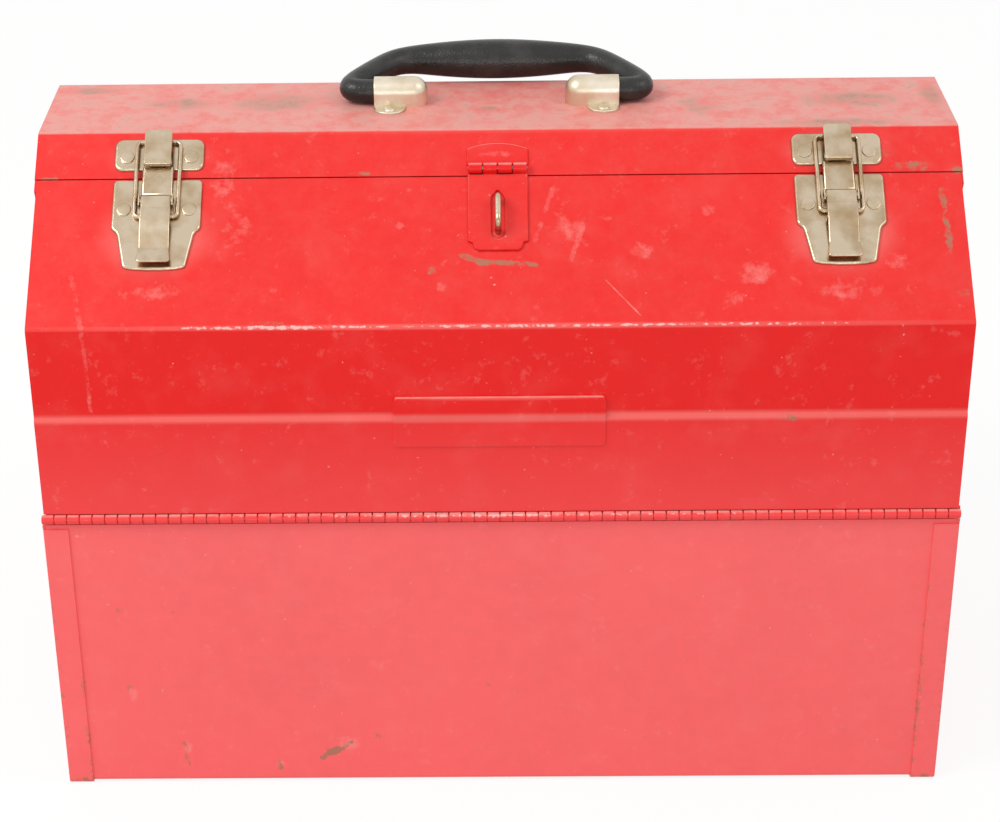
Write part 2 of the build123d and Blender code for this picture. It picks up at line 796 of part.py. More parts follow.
clip_tab_middle = clip_outer - clip_tab_width / 2
clip_rivet_places = []
for facing in covers.values():
    clip_rivet_places.append(handle_forward + facing * (clip_outside + clip_tab / 2))
for end_name, side in ends.items():
    with BuildPart() as clip:
        add(clip_body(side, clip_outside))
        with BuildSketch(Plane.XY.offset(top_height)):
            with Locations((side * clip_tab_middle, handle_forward)):
                RectangleRounded(clip_tab_width, 2 * (clip_outside + clip_tab), clip_tab_corner)
        extrude(amount=clip_thickness)
        add(clip_body(side, clip_inside), mode=Mode.SUBTRACT)
        split(bisect_by=Plane.XY.offset(top_height))
    save(clip, f"handle_clip_{end_name}")

with BuildPart() as handle_clip_rivets:
    rivet_spots = []
    for side in ends.values():
        for place in clip_rivet_places:
            rivet_spots.append((side * clip_tab_middle, place))
    rivet_plane = Plane.XY.offset(top_height + clip_thickness)
    extrude(discs(rivet_plane, rivet_spots, clip_rivet_radius), amount=rivet_head)
save(handle_clip_rivets, "handle_clip_rivets")
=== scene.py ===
"""A red steel cantilever toolbox: visible pieces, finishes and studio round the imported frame."""

import math

import bmesh
import bpy
from bpy.props import FloatProperty, FloatVectorProperty, PointerProperty
from mathutils import Matrix, Vector


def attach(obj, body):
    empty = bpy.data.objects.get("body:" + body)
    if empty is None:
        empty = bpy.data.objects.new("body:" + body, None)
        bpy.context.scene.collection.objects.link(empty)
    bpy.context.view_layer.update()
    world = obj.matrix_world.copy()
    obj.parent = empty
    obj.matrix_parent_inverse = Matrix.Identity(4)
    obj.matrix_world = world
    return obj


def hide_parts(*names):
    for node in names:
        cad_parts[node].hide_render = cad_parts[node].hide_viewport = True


bl_info = {
    "name": "Cantilever toolbox",
    "version": (1, 0, 0),
    "blender": (4, 5, 0),
    "location": "View3D > Sidebar > Toolbox",
    "description": "Builds the pieces, finishes and studio of a steel cantilever toolbox",
    "category": "Add Mesh",
}

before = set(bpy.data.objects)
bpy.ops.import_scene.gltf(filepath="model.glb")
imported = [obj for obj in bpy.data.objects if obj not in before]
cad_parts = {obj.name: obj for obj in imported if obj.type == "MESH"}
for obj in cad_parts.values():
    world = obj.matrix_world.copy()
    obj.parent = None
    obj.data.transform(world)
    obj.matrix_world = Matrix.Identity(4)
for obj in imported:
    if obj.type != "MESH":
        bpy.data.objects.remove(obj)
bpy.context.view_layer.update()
MM = 0.001


def linear(colour):
    """An sRGB hex colour as linear RGBA."""
    channels = [int(colour[place:place + 2], 16) / 255 for place in (1, 3, 5)]
    light = [c / 12.92 if c <= 0.04045 else ((c + 0.055) / 1.055) ** 2.4 for c in channels]
    return (*light, 1.0)


def length(name, description, millimetres):
    """A length that a user may change, stored in metres."""
    return FloatProperty(
        name=name, description=description, default=millimetres * MM, unit="LENGTH", precision=4
    )


def shade(name, description, colour):
    """A colour that a user may change, given as sRGB hex."""
    return FloatVectorProperty(
        name=name, description=description, default=linear(colour), size=4, min=0, max=1,
        subtype="COLOR",
    )


class ToolboxSizes(bpy.types.PropertyGroup):
    """Sizes of the sheet metal, fittings and handle."""

    sheet: length("Sheet", "Thickness of the steel sheet", 0.9)
    fold: length("Fold", "Outer radius of the folds in the covers", 2.4)
    crease: length("Crease", "Outer radius of the joggle half way up the covers", 0.7)
    knuckle: length("Knuckle", "Radius of the piano hinge knuckles", 2.4)
    plate: length("Latch plate", "Thickness of the latch plates", 0.9)
    bail: length("Bail wire", "Radius of the latch wire", 1.1)
    staple: length("Staple wire", "Radius of the hasp's staple", 1.6)
    rivet: length("Rivet head", "Radius of the linkage rivet heads", 4.0)
    grip: length("Grip", "Radius of the grip at its middle", 10.3)
    stub: length("Stub", "Radius of the handle's ends in their clips", 6.0)


class ToolboxColours(bpy.types.PropertyGroup):
    """Colours of the finishes and of the studio."""

    cover: shade("Cover enamel", "Red of the covers", "#ec1613")
    # The base enamel's red, made paler by a painted reflection of the white floor in its gloss.
    base: shade("Base enamel", "Faded red of the base", "#ff6869")
    # Also painted as pale highlight lines along the covers' folds and edges.
    rubbed: shade("Rubbed enamel", "Pale rub marks in the enamel", "#f4a39b")
    # Also painted as a glint on the middle of the front hinge's knuckles.
    worn: shade("Worn edge", "Folds and flecks rubbed nearly bare", "#ecc8c2")
    rust: shade("Chips", "Old chips and grime down to the steel", "#97755a")
    dust: shade("Dust", "Dust and oil film on upward faces", "#e2bdb1")
    grime: shade("Grime", "Brown stains in the dust", "#a5806a")
    nickel: shade("Nickel", "Nickel plate", "#cebda4")
    tarnish: shade("Tarnish", "Tarnish on the nickel plate", "#a48761")
    # A lighter copy of the nickel and its tarnish for the handle clips: painted brightness in place
    # of their stronger reflections.
    handled: shade("Handled nickel", "Nickel plate kept bright by handling", "#e8ddcb")
    lit_tarnish: shade("Yellowed nickel", "Tarnish on the handled nickel", "#c7b493")
    zinc: shade("Zinc", "Zinc plate on rivets and link arms", "#989793")
    dull_zinc: shade("Dull zinc", "Stains on the zinc plate", "#77746f")
    grip: shade("Grip", "Black moulded grip", "#1d1c1a")
    greyed: shade("Greyed grip", "Grip where handling has greyed it", "#3a3834")
    floor: shade("Floor", "Studio floor", "#dadad8")


# Places in millimetres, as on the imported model.
SIDES = (-1, 1)
ENDS = {"left": -1, "right": 1}
COVERS = {"front": -1, "rear": 1}
WALL = 123.1
FACE = 121.9
HALF = 228.6
FRONT_HALF = 227.5
BASE_FOLD = 3.0
BASE_TOP = 158.5
COVER_EDGE = 164.7
JOGGLE_LOW = 216.5
JOGGLE_HIGH = 218.4
HIP = 266.0
TOP = 333.0
TOP_HALF = 35.0
SEAM = 83.0
SEAM_HALF_GAP = 0.35
HINGE_HEIGHT = 162.0
HINGE_OUT = 123.7
LATCH_ACROSS = 167.2
SLOPE_RUN = FACE - TOP_HALF
SLOPE_RISE = TOP - HIP
SLOPE_LENGTH = math.hypot(SLOPE_RUN, SLOPE_RISE)
UP = Vector((0, SLOPE_RUN, SLOPE_RISE)) / SLOPE_LENGTH
OUT = Vector((0, -SLOPE_RISE, SLOPE_RUN)) / SLOPE_LENGTH
# Axes across, up the front slope from its foot, and out from it.
SLOPE = Matrix.Translation((0, -FACE, HIP)) @ Matrix(((1, 0, 0), UP, OUT)).transposed().to_4x4()
# Points on the inner side of a folded sheet.
BASE_MIDDLE = (0, 0, 80)
COVER_MIDDLE = (0, 0, 200)
FAR_BELOW = (0, 0, -1000)
# Points closer than this are one. Edges that turn by more than this angle are sharp.
NEAR = 0.001
SHARP = 1.2
# The share of the way to the corner at which a Bezier handle draws a quarter circle.
ARC_HANDLE = 0.5523

# Finishes, and the slot that the pieces in each of them fill.
COVER_ENAMEL = "stoved_red_enamel_covers"
BASE_ENAMEL = "stoved_red_enamel_base"
TRAY_ENAMEL = "stoved_red_enamel_trays"
NICKEL = "nickel_plated_steel"
# A lighter copy of the nickel, painted brighter for the handle clips.
PAINTED_BRIGHT_NICKEL = "painted_bright_nickel_plated_steel"
ZINC = "zinc_plated_steel"
BLACK = "moulded_black_plastic"

# Wear and painted highlights in millimetres, as measured on the box. Soft spots: (centre, spread,
# strength).
COVER_HAZE_AND_HIGHLIGHTS = (
    # Pale lines along the joggle, the hip, the pad's upper edge and the top's front fold: painted
    # highlights.
    ((0, -122.5, 217.6), (600, 6, 3.4), 0.3),
    ((0, -121.4, 266.1), (330, 2, 2), 0.26),
    ((0, -123.9, 228.2), (54, 2, 1.4), 0.16),
    ((0, -35, 333), (240, 3, 3), 0.1),
    # Grime halos round the latches.
    ((-167.2, -82, 297), (33, 30, 24), 0.36),
    ((167.2, -82, 297), (33, 30, 24), 0.4),
    ((-167.2, -46, 324.6), (31, 16, 13), 0.22),
    ((167.2, -46, 324.6), (31, 16, 13), 0.28),
)
COVER_RUBS = (
    ((102, -72.4, 304.2), (7, 6, 6), 0.2),
    ((68.6, -90, 290.5), (8, 7, 6), 0.2),
    ((124, -100.5, 282.5), (13, 10, 9), 0.2),
    ((112, -111, 274.3), (10, 8, 7), 0.19),
    ((196, -96, 286), (11, 9, 8), 0.17),
    ((166, -107.7, 277), (24, 7, 6), 0.18),
    ((-168, -106, 278.4), (22, 6, 5), 0.18),
    ((-135, -58, 315), (9, 26, 22), 0.17),
    ((-128, -80, 298), (11, 20, 16), 0.14),
    ((35, -80, 299), (14, 18, 14), 0.14),
    ((-28, -105, 279), (4, 5, 4), 0.24),
    ((-48, -77.6, 300), (3, 3, 3), 0.24),
    ((0, -47, 324), (17, 3, 3), 0.2),
    ((0, -125.6, 163.9), (236, 1.8, 1.2), 0.26),
    ((0, -123, 240), (240, 6, 22), 0.03),
)
COVER_BARE_AND_GLINTS = (
    ((-110, -121.3, 266.2), (75, 1.5, 1.5), 0.36),
    ((10, -121.3, 266.2), (110, 1.2, 1.2), 0.31),
    ((120, -121.3, 266.2), (90, 1.2, 1.2), 0.25),
    # Knuckle tops of the front hinge: worn nearly bare along its length, with a painted glint in
    # the middle.
    ((0, -125.4, 164), (236, 1.4, 1), 0.22),
    ((-8, -125.8, 163.6), (60, 1.8, 1.6), 0.2),
)
COVER_CHIPS = (
    ((-111, -119.6, 267.7), (14, 2, 2), 0.24),
    ((-60, -120.5, 267), (30, 2, 2), 0.14),
    ((-32.6, -97.5, 284.8), (4, 4, 4), 0.27),
    ((141, -123.1, 216), (10, 3, 3), 0.27),
    ((205, -53.4, 319), (16, 5, 4), 0.31),
    ((226, -55, 317.6), (5, 4, 3), 0.3),
    ((193, -47, 323.4), (8, 5, 4), 0.2),
    ((223, -109, 276), (5, 5, 4), 0.26),
    ((-67, -54.6, 318), (12, 2, 2), 0.24),
    ((-222, -56, 317), (10, 2.4, 2), 0.28),
    ((-161, 5, 333), (26, 12, 3), 0.17),
    ((-112, 6, 333), (34, 20, 3), 0.17),
    ((-210, 25, 333), (26, 8, 3), 0.18),
    ((180, 3, 333), (36, 16, 3), 0.18),
    ((222, 8, 333), (8, 26, 3), 0.2),
    ((170, -30, 333), (44, 8, 3), 0.17),
    ((-54, -10, 333), (14, 8, 3), 0.22),
    ((54, -10, 333), (14, 8, 3), 0.22),
    ((-4, -6, 333), (8, 5, 3), 0.22),
    ((104, -4, 333), (16, 20, 3), 0.14),
)
BASE_RUBS = (
    ((-191, -123.1, 57), (4, 3, 7), 0.25),
    ((-80, -123.1, 25), (10, 3, 7), 0.25),
    ((-116, -123.1, 12), (4, 3, 5), 0.25),
    ((-165, -123.1, 23), (4, 3, 6), 0.24),
    ((-212, -123.1, 152), (1.3, 3, 1.3), 0.5),
)
BASE_CHIPS = (
    ((-193, -123.1, 107.6), (7, 3, 3), 0.24),
    ((-165, -123.1, 107), (7, 3, 3), 0.2),
    ((-192, -123.1, 60), (3, 3, 4), 0.24),
    ((-88, -123.1, 20), (8, 3, 4), 0.26),
    ((-62, -123.1, 30), (12, 3, 4), 0.18),
    ((-9, -123.1, 61), (8, 3, 4), 0.2),
    ((-228, -124, 60), (3, 4, 110), 0.17),
    ((228, -124, 60), (3, 4, 110), 0.17),
    ((-221, -124, 2), (9, 4, 4), 0.3),
    ((221, -124, 2), (9, 4, 4), 0.3),
    ((-216, -124, 40), (2.4, 3, 80), 0.2),
    ((216, -124, 60), (2.6, 3, 100), 0.24),
)
# Scratches and drips: (start, end, width, strength).
COVER_SCRATCHES = (
    ((51.7, -102.5, 281), (67.8, -117.6, 269.3), 0.7, 0.3),
    ((-209, -92, 288.7), (-200.8, -121.1, 266.6), 2.2, 0.14),
    ((-200.5, -122, 264), (-199.1, -122, 219), 1.7, 0.17),
    ((29, -57.4, 315.7), (17, -87, 293), 2.0, 0.15),
    ((41.5, -78.4, 299.5), (35, -93.7, 287.7), 2.2, 0.18),
)
COVER_SCORES = (
    ((-17, -91.5, 289.4), (-8.3, -94.2, 287.4), 3.2, 0.29),
    ((-9, -94.2, 287.4), (18.2, -95.3, 286.5), 2.8, 0.28),
    ((217, -64.6, 310.2), (218.7, -91, 289.8), 3.0, 0.27),
)
BASE_SCORES = (
    ((-94, -123.1, 15.5), (-79, -123.1, 25), 3.0, 0.3),
    ((-116, -123.1, 9), (-117, -123.1, 14), 2.4, 0.28),
    ((-165, -123.1, 12), (-166, -123.1, 25), 2.2, 0.26),
)

# Noises in each finish: (name, size in millimetres, detail, roughness).
ENAMEL_NOISES = (
    ("patches", 80, 2.0, 0.5),
    ("clouds", 9, 5.0, 0.6),
    ("smears", 25, 6.0, 0.6),
    ("coarse", 7, 6.0, 0.7),
    ("flecks", 2.4, 2.0, 0.5),
    ("grit", 3.2, 6.0, 0.65),
    ("blotches", 11, 9.0, 0.74),
    ("peel", 2, 1.0, 0.5),
    ("waves", 120, 1.0, 0.5),
)
PLATE_NOISES = (("specks", 2.2, 5.0, 0.7), ("ripple", 6, 2.0, 0.5))
GRIP_NOISES = (("handled", 16, 5.0, 0.6),)


def feed(tree, node, inputs):
    """Set or link a node's inputs by name or number. A node stands for its first output."""
    for socket, value in inputs.items():
        if isinstance(value, bpy.types.Node):
            value = value.outputs[0]
        if isinstance(value, bpy.types.NodeSocket):
            tree.links.new(value, node.inputs[socket])
        else:
            node.inputs[socket].default_value = value
    return node


def add_node(tree, kind, inputs=None, **options):
    """Add a shader node of this kind with its options and inputs."""
    node = tree.nodes.new("ShaderNode" + kind)
    for option, value in options.items():
        setattr(node, option, value)
    return feed(tree, node, inputs or {})


def new_material(name, noises=()):
    """A node material with the object's own coordinates and noises on them."""
    material = bpy.data.materials.new(name)
    material.use_nodes = True
    tree = material.node_tree
    place = add_node(tree, "TexCoord").outputs["Object"]
    noise = {}
    for kind, size, detail, roughness in noises:
        grain = {"Scale": 1 / (size * MM), "Detail": detail, "Roughness": roughness}
        noise[kind] = add_node(tree, "TexNoise", {"Vector": place, **grain})
    return tree, place, noise


def layered(tree, colour, layers):
    """Lay each tint over a colour where its mask lets it show."""
    for mask, tint in layers:
        mixed = add_node(tree, "Mix", {0: mask, 6: colour, 7: tint}, data_type="RGBA")
        colour = mixed.outputs[2]
    return colour


def pressed(tree, place, spots, lines, grit):
    """Add to a fine grit how hard each soft spot and each scratch presses on it."""
    reaches = []
    for centre, spread, strength in spots:
        centre, spread = Vector(centre) * MM, Vector(spread) * MM
        off = add_node(tree, "VectorMath", {0: place, 1: centre}, operation="SUBTRACT")
        reach = add_node(tree, "VectorMath", {0: off, 1: spread}, operation="DIVIDE")
        reaches.append((reach, strength))
    for start, end, width, strength in lines:
        start = Vector(start) * MM
        along = Vector(end) * MM - start
        off = add_node(tree, "VectorMath", {0: place, 1: start}, operation="SUBTRACT")
        share = add_node(
            tree, "VectorMath", {0: off, 1: along / along.length_squared}, operation="DOT_PRODUCT"
        )
        held = add_node(tree, "Clamp", {"Value": share.outputs["Value"]})
        foot = add_node(tree, "VectorMath", {0: along, "Scale": held}, operation="SCALE")
        gap = add_node(tree, "VectorMath", {0: off, 1: foot}, operation="SUBTRACT")
        narrow = {0: gap, "Scale": 1 / (width * MM)}
        reaches.append((add_node(tree, "VectorMath", narrow, operation="SCALE"), strength))
    for reach, strength in reaches:
        distance = add_node(tree, "VectorMath", {0: reach}, operation="LENGTH").outputs["Value"]
        near = add_node(
            tree, "MapRange",
            {"Value": distance, "From Min": 1.0, "From Max": 0.25, "To Max": strength},
            interpolation_type="SMOOTHSTEP",
        )
        grit = add_node(tree, "Math", {0: grit, 1: near}, operation="ADD")
    return grit


def enamel(
    name, colour, dust, floor_reflection=0.0, haze_and_highlights=(), rubs=(), scratches=(), bare=(), chips=(), scores=()
):
    """Stoved gloss enamel on pressed steel: clear red, orange peel, rub marks, chips and dust."""
    colours = bpy.context.scene.toolbox_colours
    tree, place, noise = new_material(name, ENAMEL_NOISES)
    # Broad patches and cloudy ones, where the colour has gone duller.
    duller = (*[c * 0.8 for c in colour[:3]], 1.0)
    mottle = {0: noise["patches"], 1: noise["clouds"]}
    layers = [(add_node(tree, "Math", mottle, operation="MULTIPLY"), duller)]
    # Painted reflection of the white floor: below the joggle each cover grows paler towards the
    # base's red.
    if floor_reflection:
        joggle = JOGGLE_LOW * MM
        height = add_node(tree, "SeparateXYZ", {0: place}).outputs["Z"]
        below = add_node(
            tree, "MapRange",
            {
                "Value": height, "From Min": joggle, "From Max": COVER_EDGE * MM,
                "To Min": floor_reflection / 3, "To Max": floor_reflection,
            },
        )
        under = add_node(tree, "Math", {0: joggle, 1: height}, operation="GREATER_THAN")
        floor_reflection_mask = add_node(tree, "Math", {0: below, 1: under}, operation="MULTIPLY")
        layers.append((floor_reflection_mask, colours.base))
    # Handling hazed the gloss in clouds and round the latches; the pale fold lines are painted
    # highlights.
    smears = add_node(
        tree, "MapRange",
        {"Value": noise["smears"], "From Min": 0.5, "From Max": 0.8, "To Max": 0.07},
    )
    layers.append((pressed(tree, place, haze_and_highlights, (), smears), colours.rubbed))
    # Dust settles on faces that look up.
    facing = add_node(tree, "TexCoord").outputs["Normal"]
    level = add_node(tree, "SeparateXYZ", {0: facing}).outputs["Z"]
    upward = add_node(tree, "MapRange", {"Value": level, "From Min": 0.776, "From Max": 0.99})
    # Rub marks, pale flecks and folds rubbed to the metal, chips, and the dust with its stains:
    # (name, pressure, where it starts to show, where it shows in full, least, most, colour).
    rubbing = pressed(tree, place, rubs, scratches, noise["coarse"])
    baring_and_glints = pressed(tree, place, bare, (), noise["flecks"])
    chipping = pressed(tree, place, chips, scores, noise["grit"])
    staining = pressed(tree, place, chips, (), noise["blotches"])
    masks = {}
    for layer, pressure, start, full, least, most, tint in (
        ("rubs", rubbing, 0.6, 0.92, 0.0, 0.45, colours.rubbed),
        # The bare layer also paints the glint on the hinge.
        ("bare", baring_and_glints, 0.74, 0.86, 0.0, 0.7, colours.worn),
        ("chips", chipping, 0.69, 0.86, 0.0, 0.8, colours.rust),
        ("dust", noise["blotches"], 0.3, 0.62, 0.4 * dust, dust, colours.dust),
        ("stains", staining, 0.55, 0.8, 0.0, 0.8, colours.grime),
    ):
        mask = add_node(
            tree, "MapRange",
            {
                "Value": pressure, "From Min": start, "From Max": full,
                "To Min": least, "To Max": most,
            },
        )
        if layer in ("dust", "stains"):
            mask = add_node(tree, "Math", {0: upward, 1: mask}, operation="MULTIPLY")
        masks[layer] = mask
        layers.append((mask, tint))
    worn = add_node(tree, "Math", {0: masks["rubs"], 1: masks["chips"]}, operation="ADD")
    dulled = add_node(tree, "Math", {0: worn, 1: masks["dust"]}, operation="ADD")
    # The sheet is never quite flat, and the enamel has orange peel.
    bent = add_node(
        tree, "Bump", {"Height": noise["waves"], "Strength": 0.5, "Distance": 1.2 * MM}
    )
    feed(tree, tree.nodes["Principled BSDF"], {
        "Base Color": layered(tree, colour, layers),
        "Roughness": add_node(tree, "MapRange", {"Value": dulled, "To Min": 0.3, "To Max": 0.6}),
        "Specular IOR Level": 0.28,
        "Normal": add_node(
            tree, "Bump",
            {"Height": noise["peel"], "Strength": 0.12, "Distance": 0.1 * MM, "Normal": bent},
        ),
    })


def plated(name, colour, stain, stain_size, polish):
    """Bright plate on pressed steel: it mirrors softly and goes yellow and brown with age."""
    rust = bpy.context.scene.toolbox_colours.rust
    tree, _, noise = new_material(name, (("stains", stain_size, 4.0, 0.5), *PLATE_NOISES))
    layers = []
    for kind, start, full, most, tint in (
        ("stains", 0.4, 0.7, 0.8, stain), ("specks", 0.7, 0.82, 0.5, rust)
    ):
        mask = {"Value": noise[kind], "From Min": start, "From Max": full, "To Max": most}
        layers.append((add_node(tree, "MapRange", mask), tint))
    feed(tree, tree.nodes["Principled BSDF"], {
        "Base Color": layered(tree, colour, layers),
        "Metallic": 1.0,
        "Roughness": add_node(
            tree, "MapRange",
            {"Value": noise["stains"], "To Min": polish - 0.08, "To Max": polish + 0.12},
        ),
        "Normal": add_node(
            tree, "Bump", {"Height": noise["ripple"], "Strength": 0.3, "Distance": 0.2 * MM}
        ),
    })


def moulded_black():
    """Moulded black plastic with a leather grain of 1 mm, greyed by handling."""
    colours = bpy.context.scene.toolbox_colours
    tree, place, noise = new_material(BLACK, GRIP_NOISES)
    handled = noise["handled"]
    greyed = add_node(tree, "MapRange", {"Value": handled, "From Min": 0.45, "From Max": 0.75})
    grain = add_node(
        tree, "TexVoronoi", {"Vector": place, "Scale": 1 / (1.0 * MM)}, feature="SMOOTH_F1"
    )
    feed(tree, tree.nodes["Principled BSDF"], {
        "Base Color": layered(tree, colours.grip, [(greyed, colours.greyed)]),
        "Roughness": add_node(tree, "MapRange", {"Value": handled, "To Min": 0.24, "To Max": 0.4}),
        "Specular IOR Level": 0.42,
        "Normal": add_node(tree, "Bump", {"Height": grain, "Strength": 0.55, "Distance": 0.3 * MM}),
    })


def finish(name):
    """A finish by its name. The first call makes them all."""
    if name not in bpy.data.materials:
        colours = bpy.context.scene.toolbox_colours
        enamel(
            COVER_ENAMEL, colours.cover, dust=0.72, floor_reflection=0.36, haze_and_highlights=COVER_HAZE_AND_HIGHLIGHTS, rubs=COVER_RUBS,
            scratches=COVER_SCRATCHES, bare=COVER_BARE_AND_GLINTS, chips=COVER_CHIPS, scores=COVER_SCORES,
        )
        enamel(
            BASE_ENAMEL, colours.base, dust=0.2, rubs=BASE_RUBS, chips=BASE_CHIPS,
            scores=BASE_SCORES,
        )
        enamel(TRAY_ENAMEL, colours.cover, dust=0.12)
        plated(NICKEL, colours.nickel, colours.tarnish, stain_size=13, polish=0.2)
        # The handle clips and their rivets get this lighter copy, painted brighter in place of
        # reflections.
        plated(PAINTED_BRIGHT_NICKEL, colours.handled, colours.lit_tarnish, stain_size=16, polish=0.36)
        plated(ZINC, colours.zinc, colours.dull_zinc, stain_size=6, polish=0.36)
        moulded_black()
    return bpy.data.materials[name]


def finish_piece(name, bm, body, look, node, place=Matrix(), crease=38):
    """Turn a mesh drawn in millimetres into a piece in metres that rides on a body."""
    bmesh.ops.transform(bm, matrix=Matrix.Scale(MM, 4) @ place, verts=bm.verts)
    bmesh.ops.recalc_face_normals(bm, faces=bm.faces)
    mesh = bpy.data.meshes.new(name)
    bm.to_mesh(mesh)
    bm.free()
    mesh.materials.append(finish(look))
    mesh.shade_smooth()
    mesh.set_sharp_from_angle(angle=math.radians(crease))
    piece = bpy.data.objects.new(name, mesh)
    piece.modifiers.new("even_shading", "WEIGHTED_NORMAL").keep_sharp = True
    bpy.context.scene.collection.objects.link(piece)
    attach(piece, body)
    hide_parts(node)


def dress(names, look):
    """Give these frame nodes a finish in place of their plain one."""
    for name in names:
        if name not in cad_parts:
            raise ValueError(f"the frame has no node {name}")
        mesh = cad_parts[name].data
        mesh.materials.clear()
        mesh.materials.append(finish(look))


def new_verts(grown):
    """The vertices among what an operator has just made."""
    return [part for part in grown if isinstance(part, bmesh.types.BMVert)]


def sharp_edges(bm, test=lambda spot: True):
    """The sharp edges whose ends pass a test."""
    return [
        edge for edge in bm.edges
        if edge.calc_face_angle(0) > SHARP and all(test(vert.co) for vert in edge.verts)
    ]


def rounded(bm, geom, offset, segments=3, affect="EDGES"):
    """Round these edges, or these corners, with circular arcs."""
    bmesh.ops.bevel(
        bm, geom=geom, offset=offset, segments=segments, profile=0.5, affect=affect, material=-1
    )


def join(bm, other):
    """Add another mesh in the making to this one."""
    mesh = bpy.data.meshes.new("joined")
    other.to_mesh(mesh)
    other.free()
    bm.from_mesh(mesh)
    bpy.data.meshes.remove(mesh)


def both_sides(right):
    """An outline from one half of it, given from end to end."""
    return [*right, *[(-x, y) for x, y in reversed(right)]]


def slab(bm, outline, low, high, rim, corners):
    """A plate with this outline between two heights, its corners rounded and its rim rolled."""
    plate = bmesh.new()
    verts = [plate.verts.new((x, y, low)) for x, y in outline]
    plate.faces.new(verts)
    for vert, corner in zip(verts, corners):
        if corner:
            rounded(plate, [vert], corner, 5, "VERTICES")
    grown = bmesh.ops.extrude_face_region(plate, geom=list(plate.faces))["geom"]
    bmesh.ops.translate(plate, verts=new_verts(grown), vec=(0, 0, high - low))
    upper = [e for e in plate.edges if all(v.co.z > high - NEAR for v in e.verts)]
    rounded(plate, upper, rim)
    join(bm, plate)


def block(bm, corner, opposite, rounding=0.0):
    """A block between two opposite corners, with its edges rounded where a radius is given."""
    corner, opposite = Vector(corner), Vector(opposite)
    size = [abs(c) for c in opposite - corner]
    middle = Matrix.Translation((corner + opposite) / 2)
    made = bmesh.ops.create_cube(bm, size=1, matrix=middle @ Matrix.Diagonal((*size, 1)))["verts"]
    if rounding:
        edges = dict.fromkeys(edge for vert in made for edge in vert.link_edges)
        rounded(bm, list(edges), rounding)


def turned(bm, profile, centre, axis, side, steps):
    """A turned form: a profile of (radius, height) points spun round an axis."""
    centre, axis, side = Vector(centre), Vector(axis), Vector(side)
    form = bmesh.new()
    verts = [form.verts.new(centre + side * r + axis * h) for r, h in profile]
    edges = [form.edges.new(pair) for pair in zip(verts, verts[1:])]
    bmesh.ops.spin(
        form, geom=verts + edges, cent=centre, axis=axis, angle=math.tau, steps=steps,
        use_merge=True,
    )
    bmesh.ops.remove_doubles(form, verts=form.verts, dist=NEAR)
    join(bm, form)


def dome_profile(radius, base, height):
    """The profile of a riveted head: a low dome with a soft rim."""
    turns = (0, 0.35, 0.7, 1.05, 1.35)
    arc = [(radius * math.cos(a), base + height * math.sin(a)) for a in turns]
    return [*arc, (0, base + height)]


def knuckle_profile(radius, half):
    """The closed profile of a rolled knuckle round its pin, with eased ends."""
    bore = 1.1
    ease = 0.3
    return [
        (bore, -half), (radius - ease, -half), (radius, ease - half), (radius, half - ease),
        (radius - ease, half), (bore, half), (bore, -half),
    ]


def folded(corners, bends, half):
    """A sheet with no thickness yet, folded through (y, z) corners and drawn out across the box."""
    bm = bmesh.new()
    verts = [bm.verts.new((-half, y, z)) for y, z in corners]
    for pair in zip(verts, verts[1:]):
        bm.edges.new(pair)
    corners = [Vector(corner) for corner in corners]
    for before, here, after, vert, bend in zip(
        corners, corners[1:], corners[2:], verts[1:], bends
    ):
        turn = (here - before).angle(after - here)
        rounded(bm, [vert], bend * math.tan(turn / 2), 6, "VERTICES")
    grown = bmesh.ops.extrude_edge_only(bm, edges=list(bm.edges))["geom"]
    bmesh.ops.translate(bm, verts=new_verts(grown), vec=(2 * half, 0, 0))
    bmesh.ops.recalc_face_normals(bm, faces=bm.faces)
    return bm


def thicken(bm, inside, thickness):
    """Give a sheet its thickness on the side of a point inside it."""
    faces = list(bm.faces)
    bmesh.ops.recalc_face_normals(bm, faces=faces)
    largest = max(faces, key=lambda f: f.calc_area())
    largest.normal_update()
    if largest.normal.dot(largest.calc_center_median() - Vector(inside)) < 0:
        bmesh.ops.reverse_faces(bm, faces=faces)
    bmesh.ops.solidify(bm, geom=faces, thickness=thickness)


def round_curve(kind, radius, sides, steps):
    """A round curve with capped ends, and its spline."""
    curve = bpy.data.curves.new("round", "CURVE")
    curve.dimensions = "3D"
    curve.bevel_depth = radius
    curve.bevel_resolution = sides
    curve.resolution_u = steps
    curve.use_fill_caps = True
    return curve, curve.splines.new(kind)


def drawn(curve):
    """The mesh of a curve, its end caps merged with its sides, without keeping the curve."""
    bm = bmesh.new()
    holder = bpy.data.objects.new("curve", curve)
    mesh = bpy.data.meshes.new_from_object(holder)
    bm.from_mesh(mesh)
    bmesh.ops.remove_doubles(bm, verts=bm.verts, dist=NEAR)
    bpy.data.objects.remove(holder)
    bpy.data.curves.remove(curve)
    bpy.data.meshes.remove(mesh)
    return bm


def wire(corners, bend, gauge):
    """A round wire bent through these points."""
    points = [Vector(corner) for corner in corners]
    curve, spline = round_curve("BEZIER", gauge, sides=4, steps=8)
    stops = [(points[0],) * 3]
    for before, here, after in zip(points, points[1:], points[2:]):
        start = here + (before - here).normalized() * bend
        end = here + (after - here).normalized() * bend
        stops.append((start, start, start.lerp(here, ARC_HANDLE)))
        stops.append((end, end.lerp(here, ARC_HANDLE), end))
    stops.append((points[-1],) * 3)
    spline.bezier_points.add(len(stops) - 1)
    for point, (spot, left, right) in zip(spline.bezier_points, stops):
        point.handle_left_type = point.handle_right_type = "FREE"
        point.co, point.handle_left, point.handle_right = spot, left, right
    return drawn(curve)


